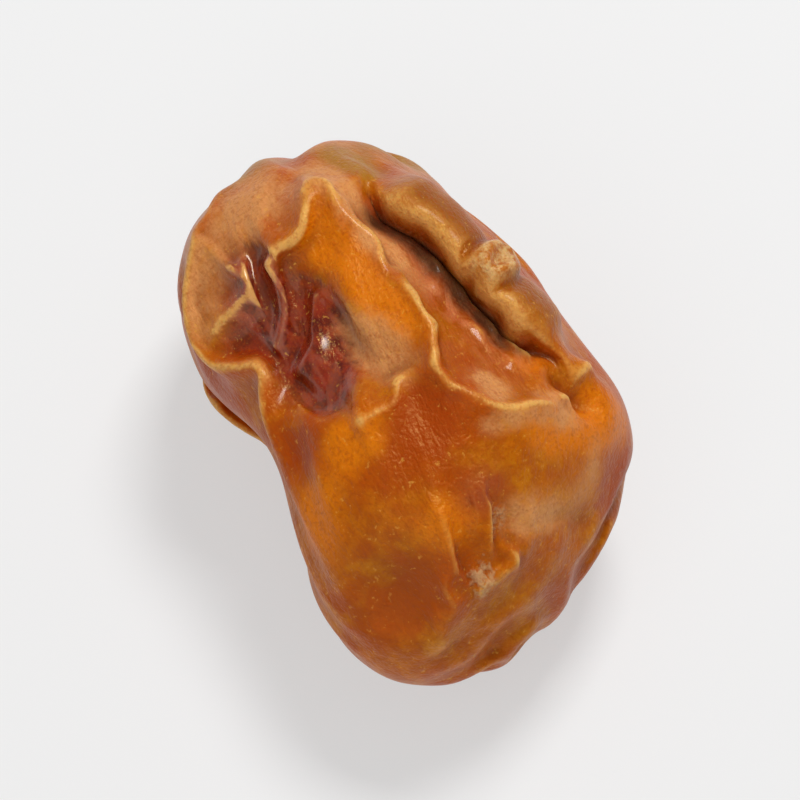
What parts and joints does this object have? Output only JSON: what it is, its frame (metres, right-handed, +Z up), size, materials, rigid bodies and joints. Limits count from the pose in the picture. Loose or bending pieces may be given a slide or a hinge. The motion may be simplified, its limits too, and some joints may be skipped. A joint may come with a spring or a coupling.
{
  "type": "date",
  "caption": "Semi-dry golden date, a blunt oblong fruit with wrinkled, folded skin and a woody calyx at its stem end, lying on its flank.",
  "frame": {"origin": "middle of the footprint, on the surface the date rests on", "axes": "+X along the fruit from the stem end to the blossom tip, +Z up away from the pressed flat it rests on"},
  "size_m": [0.0374, 0.025, 0.0221],
  "materials": {
    "date_skin": "thin glossy wrinkled skin over soft flesh, golden amber with tan crests and red-brown hollows",
    "dry_calyx": "dry, fibrous, matte"
  },
  "bodies": {
    "root": {"fruit": "date_skin", "calyx": "dry_calyx"}
  },
  "joints": []
}
